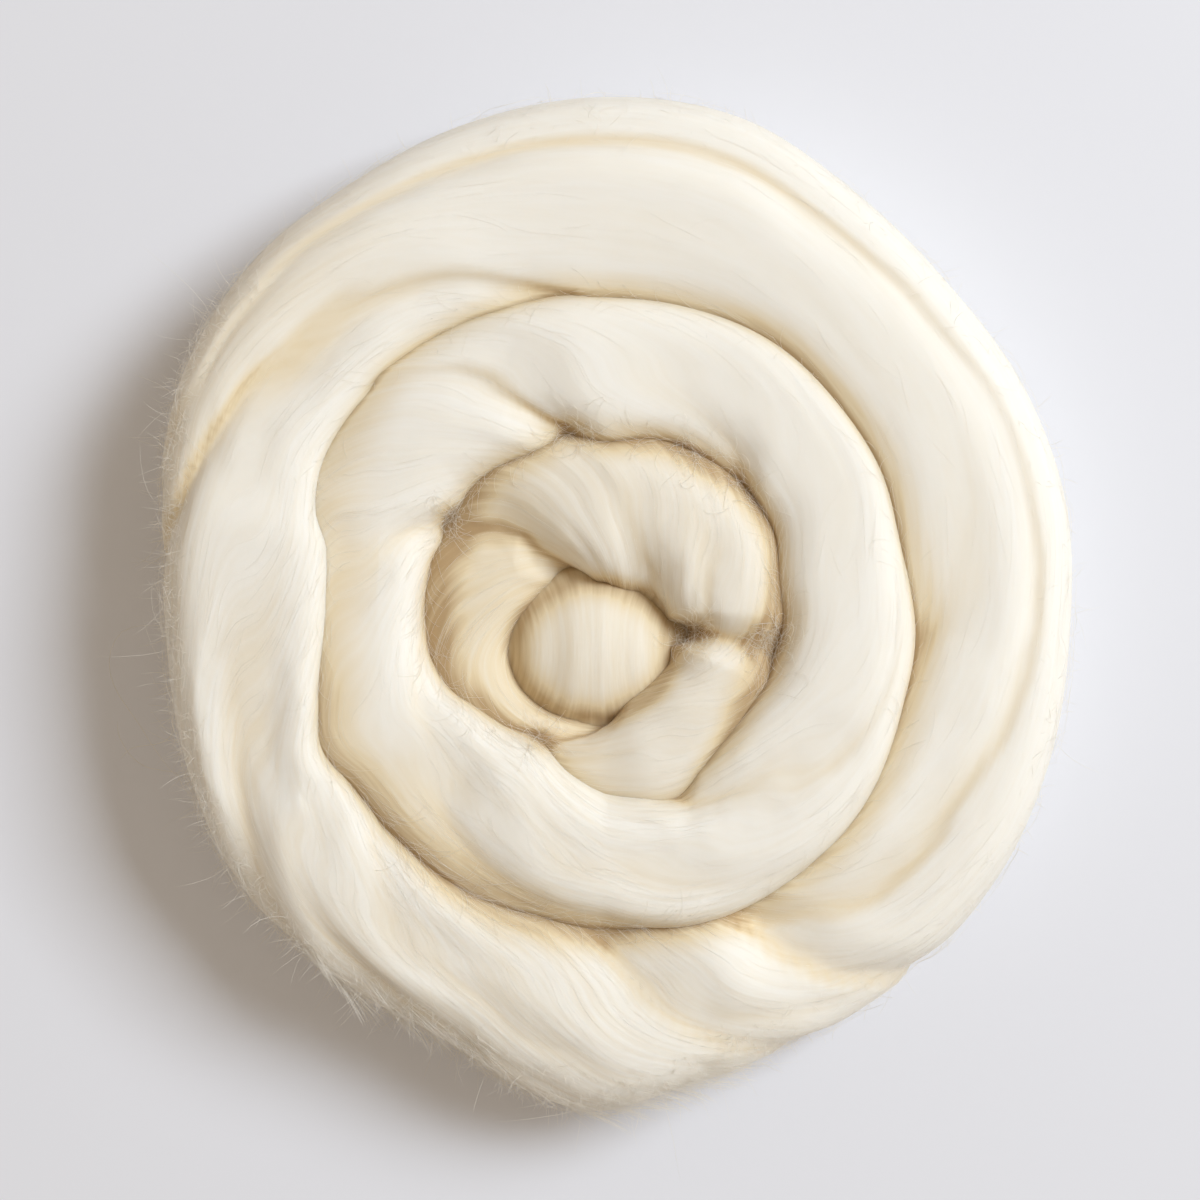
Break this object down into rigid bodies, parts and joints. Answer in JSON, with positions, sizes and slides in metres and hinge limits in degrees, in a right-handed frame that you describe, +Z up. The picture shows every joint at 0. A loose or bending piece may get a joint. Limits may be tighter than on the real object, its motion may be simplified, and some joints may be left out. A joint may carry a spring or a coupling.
{
  "type": "wool roving",
  "caption": "Nest of combed wool roving: one thick, lightly twisted strand wound flat in turns about its rolled-up end, soft, hairy and pressed flat underneath.",
  "frame": {"origin": "middle of the nest's box, on the surface that it rests on", "axes": "+Z up out of the flat of the nest, +Y along its longest way across, towards the side opposite the outer end of the strand"},
  "size_m": [0.1992, 0.2227, 0.042],
  "materials": {
    "wool": "undyed cream combed wool, matt with a soft sheen along the fibres and a hairy surface"
  },
  "bodies": {
    "root": {"roving": "wool"}
  },
  "joints": []
}
